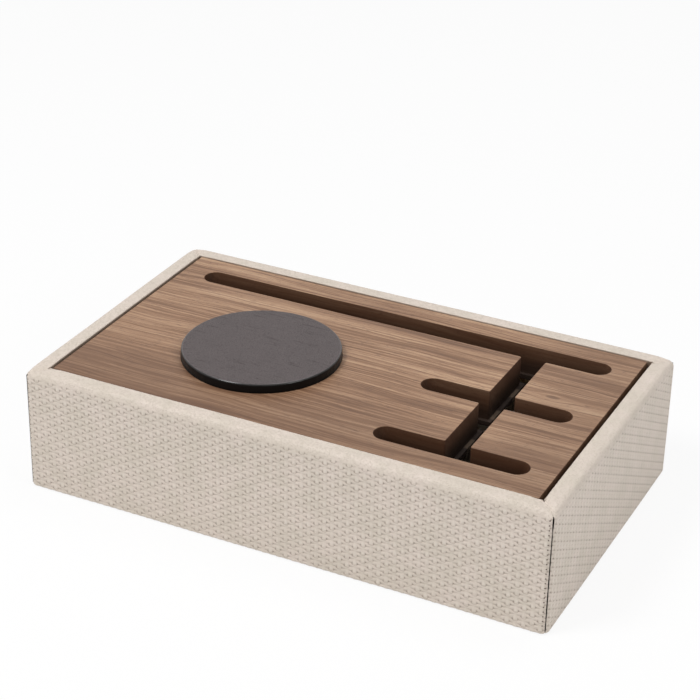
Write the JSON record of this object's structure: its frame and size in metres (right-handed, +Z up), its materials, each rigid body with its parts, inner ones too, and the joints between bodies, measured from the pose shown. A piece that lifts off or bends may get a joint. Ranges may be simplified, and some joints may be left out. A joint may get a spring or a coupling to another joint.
{
  "type": "charging station organizer",
  "caption": "Leather-clad box with a slotted walnut lid that stands phones and tablets on edge, a round wireless charging pad and a charger in the compartment below.",
  "frame": {"origin": "middle of the underside, on the surface that the box stands on", "axes": "+X along the long front to the side with the short slots, +Y from the front to the back, +Z up"},
  "size_m": [0.35, 0.208, 0.0871],
  "materials": {
    "embossed_leather": "embossed basket weave, satin",
    "thread": "waxed thread",
    "wall_board": "plain fibreboard",
    "beech": "planed beech",
    "lining": "microfibre",
    "felt": "felt",
    "walnut": "oiled walnut, satin",
    "slot_floor_board": "board with a pale facing",
    "screw_steel": "zinc plated",
    "dark_leather": "fine grain, satin",
    "black_plastic": "fine texture",
    "foam_tape": "foam",
    "copper": "enamelled wire",
    "ferrite": "sintered",
    "circuit_board": "solder mask",
    "socket_steel": "nickel plated",
    "tongue_plastic": "moulded",
    "pin_metal": "nickel plated",
    "transformer_tape": "tape",
    "capacitor_can": "sleeved can",
    "grommet_rubber": "moulded"
  },
  "bodies": {
    "box": {"front_leather_wrap": "embossed_leather", "back_leather_wrap": "embossed_leather", "left_leather_wrap": "embossed_leather", "right_leather_wrap": "embossed_leather", "corner_stitching": "thread", "base_board": "wall_board", "front_wall_board": "wall_board", "back_wall_board": "wall_board", "left_wall_board": "wall_board", "right_wall_board": "wall_board", "wall_dowels": "beech", "front_wall_lining": "lining", "back_wall_lining": "lining", "left_wall_lining": "lining", "right_wall_lining": "lining", "floor_lining": "lining", "underside_felt": "felt", "front_lid_rail": "beech", "back_lid_rail": "beech", "left_lid_rail": "beech", "right_lid_rail": "beech", "cable_grommet": "grommet_rubber", "charger_lower_case": "black_plastic", "charger_upper_case": "black_plastic", "charger_circuit_board": "circuit_board", "charger_sockets": "socket_steel", "charger_socket_tongues": "tongue_plastic", "charger_mains_inlet": "black_plastic", "charger_inlet_pins": "pin_metal", "charger_transformer": "transformer_tape", "charger_capacitors": "capacitor_can", "charger_case_screws": "screw_steel", "charger_fixing_strips": "felt"},
    "lid": {"walnut_lid": "walnut", "lid_slot_floor": "slot_floor_board", "lid_screws": "screw_steel", "pad_adhesive_ring": "foam_tape", "pad_base": "black_plastic", "pad_top_plate": "black_plastic", "pad_leather_cover": "dark_leather", "pad_ferrite_disc": "ferrite", "pad_charging_coil": "copper", "pad_circuit_board": "circuit_board", "pad_lead_gland": "grommet_rubber", "pad_housing_screws": "screw_steel"}
  },
  "joints": [
    {"name": "lid_lift", "type": "slide", "parent": "box", "child": "lid", "axis": [0, 0, 1], "range_m": [0, 0.09]}
  ]
}
